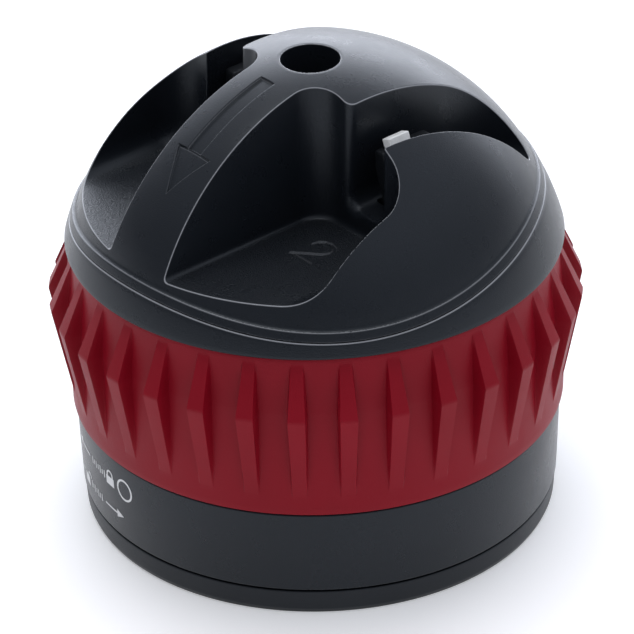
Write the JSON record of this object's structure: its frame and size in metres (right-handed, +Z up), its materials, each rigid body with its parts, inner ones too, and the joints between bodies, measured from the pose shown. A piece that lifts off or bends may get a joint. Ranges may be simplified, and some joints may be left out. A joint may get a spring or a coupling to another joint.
{
  "type": "knife sharpener",
  "caption": "Domed two-stage pull-through knife sharpener on a twist-lock suction base: ribbed ring turns a cam that lifts the rubber cup's middle.",
  "frame": {"origin": "centre of the foot's bottom plane", "axes": "+Z up along the twist axis; +X to the right and -Y towards the viewer; the pull runs 40 degrees from +X"},
  "size_m": [0.0874, 0.0873, 0.0802],
  "materials": {
    "black_shell": "satin moulded plastic, fine grain",
    "black_trim": "plain moulded plastic",
    "red_grip": "satin moulded plastic",
    "grey_works": "plain moulded plastic",
    "steel": "plated steel",
    "carbide": "ground tungsten carbide",
    "ceramic": "fine fired ceramic",
    "rubber": "soft black rubber"
  },
  "bodies": {
    "base": {"base_housing": "black_shell", "foot_ring": "black_trim", "suction_cup": "rubber", "return_spring": "steel", "top_chassis": "black_trim", "collar": "black_shell", "dome_cap": "black_shell", "center_screw": "steel", "base_screw_1": "steel", "collar_screw_1": "steel", "base_screw_2": "steel", "collar_screw_2": "steel", "base_screw_3": "steel", "collar_screw_3": "steel", "stage1_holder": "grey_works", "stage1_carbide_a": "carbide", "stage1_carbide_b": "carbide", "stage1_screw": "steel", "stage2_holder": "grey_works", "stage2_ceramic_a": "ceramic", "stage2_ceramic_b": "ceramic", "stage2_screw": "steel"},
    "twist": {"twist_ring": "red_grip", "cam_drive": "grey_works", "ring_screw_1": "steel", "ring_screw_2": "steel", "ring_screw_3": "steel"},
    "stem": {"lift_stem": "grey_works", "cross_pin": "steel"}
  },
  "joints": [
    {"name": "ring_turn", "type": "hinge", "parent": "base", "child": "twist", "pos_m": [0, 0, 0.034], "axis": [0, 0, -1], "range_deg": [0, 60]},
    {"name": "stem_lift", "type": "slide", "parent": "base", "child": "stem", "axis": [0, 0, 1], "range_m": [0, 0.004], "deforming": ["return_spring", "suction_cup"]}
  ],
  "couplings": [
    {"joint": "stem_lift", "follows": "ring_turn", "m_per_rad": 0.0038196}
  ]
}
